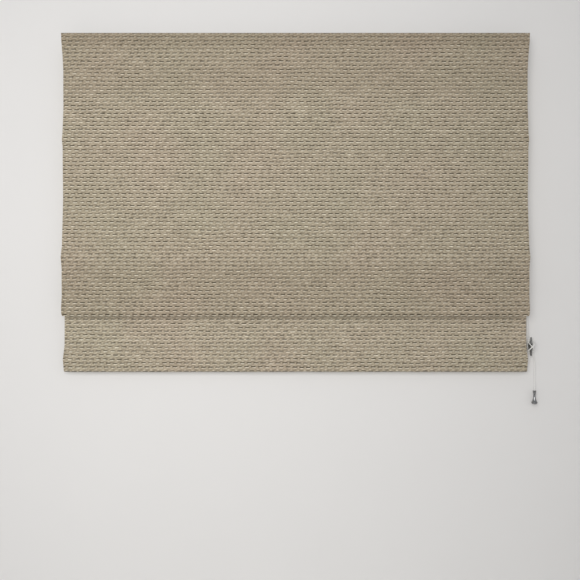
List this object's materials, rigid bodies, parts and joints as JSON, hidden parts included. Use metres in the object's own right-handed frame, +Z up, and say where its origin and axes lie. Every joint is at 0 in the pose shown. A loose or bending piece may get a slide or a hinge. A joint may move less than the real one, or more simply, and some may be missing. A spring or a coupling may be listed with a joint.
{
  "type": "roman blind",
  "caption": "Roman blind in chunky woven cloth, half raised, with headrail, wall brackets, rods, lift cords over pulleys, wall cleat and acorn cord pull.",
  "frame": {"origin": "centre of the four bracket screws, on the wall's face", "axes": "+X right seen from the room, +Y towards the wall, +Z up"},
  "size_m": [1.2313, 0.0421, 0.956],
  "materials": {
    "woven_cloth": "chunky basket weave",
    "lining": "plain cotton",
    "tape": "hook and loop pile",
    "white_cord": "braided",
    "aluminium": "satin",
    "zinc_steel": "zinc plated",
    "satin_metal": "satin nickel",
    "chrome": "polished",
    "white_plastic": "moulded",
    "clear_plastic": "moulded",
    "rod": "pultruded fibreglass"
  },
  "bodies": {
    "root": {"headrail": "aluminium", "hook_tape": "tape", "loop_tape": "tape", "face_fabric": "woven_cloth", "lining": "lining", "rail_end_left": "white_plastic", "bracket_left": "zinc_steel", "rail_end_right": "white_plastic", "bracket_right": "zinc_steel", "cradle_left": "white_plastic", "pulley_pin_left": "zinc_steel", "cradle_middle": "white_plastic", "pulley_pin_middle": "zinc_steel", "cradle_right": "white_plastic", "pulley_pin_right": "zinc_steel", "cradle_exit": "white_plastic", "pulley_pin_exit": "zinc_steel", "lift_cord_left": "white_cord", "lift_cord_middle": "white_cord", "lift_cord_right": "white_cord", "connector_upper": "clear_plastic", "connector_lower": "clear_plastic", "pull_cord": "white_cord", "cleat": "satin_metal", "acorn": "chrome"},
    "rod_top": {"rod_top": "rod", "rod_caps_top": "white_plastic", "rings_top": "clear_plastic"},
    "rod_middle": {"rod_middle": "rod", "rod_caps_middle": "white_plastic", "rings_middle": "clear_plastic"},
    "rod_bottom": {"rod_bottom": "rod", "rod_caps_bottom": "white_plastic", "rings_bottom": "clear_plastic", "bottom_bar": "aluminium", "bar_caps": "white_plastic"},
    "pulley_left": {"pulley_left": "white_plastic"},
    "pulley_middle": {"pulley_middle": "white_plastic"},
    "pulley_right": {"pulley_right": "white_plastic"},
    "pulley_exit": {"pulley_exit": "white_plastic"},
    "bracket_lock_left": {"bracket_lock_left": "white_plastic"},
    "bracket_lock_right": {"bracket_lock_right": "white_plastic"}
  },
  "joints": [
    {"name": "rod_top_lift", "type": "slide", "parent": "root", "child": "rod_top", "axis": [0, 0, 1], "range_m": [0, 0.21], "deforming": ["face_fabric", "lining", "lift_cord_left", "lift_cord_middle", "lift_cord_right", "pull_cord"]},
    {"name": "rod_middle_lift", "type": "slide", "parent": "rod_top", "child": "rod_middle", "axis": [0, 0, 1], "range_m": [0, 0.286], "deforming": ["face_fabric", "lining", "lift_cord_left", "lift_cord_middle", "lift_cord_right", "pull_cord"]},
    {"name": "rod_bottom_lift", "type": "slide", "parent": "rod_middle", "child": "rod_bottom", "axis": [0, 0, 1], "range_m": [-0.28, 0], "deforming": ["face_fabric", "lining", "lift_cord_left", "lift_cord_middle", "lift_cord_right", "pull_cord"]},
    {"name": "pulley_left_turn", "type": "hinge", "parent": "root", "child": "pulley_left", "pos_m": [-0.4729, -0.022, 0.002], "axis": [0, 1, 0], "continuous": true},
    {"name": "pulley_middle_turn", "type": "hinge", "parent": "root", "child": "pulley_middle", "pos_m": [0.0071, -0.022, 0.002], "axis": [0, 1, 0], "continuous": true},
    {"name": "pulley_right_turn", "type": "hinge", "parent": "root", "child": "pulley_right", "pos_m": [0.4871, -0.022, 0.002], "axis": [0, 1, 0], "continuous": true},
    {"name": "pulley_exit_turn", "type": "hinge", "parent": "root", "child": "pulley_exit", "pos_m": [0.5649, -0.022, 0.002], "axis": [0, 1, 0], "continuous": true},
    {"name": "bracket_lock_left_swivel", "type": "hinge", "parent": "root", "child": "bracket_lock_left", "pos_m": [-0.35, -0.022, 0.018], "axis": [0, 0, 1], "range_deg": [0, 90]},
    {"name": "bracket_lock_right_swivel", "type": "hinge", "parent": "root", "child": "bracket_lock_right", "pos_m": [0.35, -0.022, 0.018], "axis": [0, 0, 1], "range_deg": [0, 90]}
  ]
}
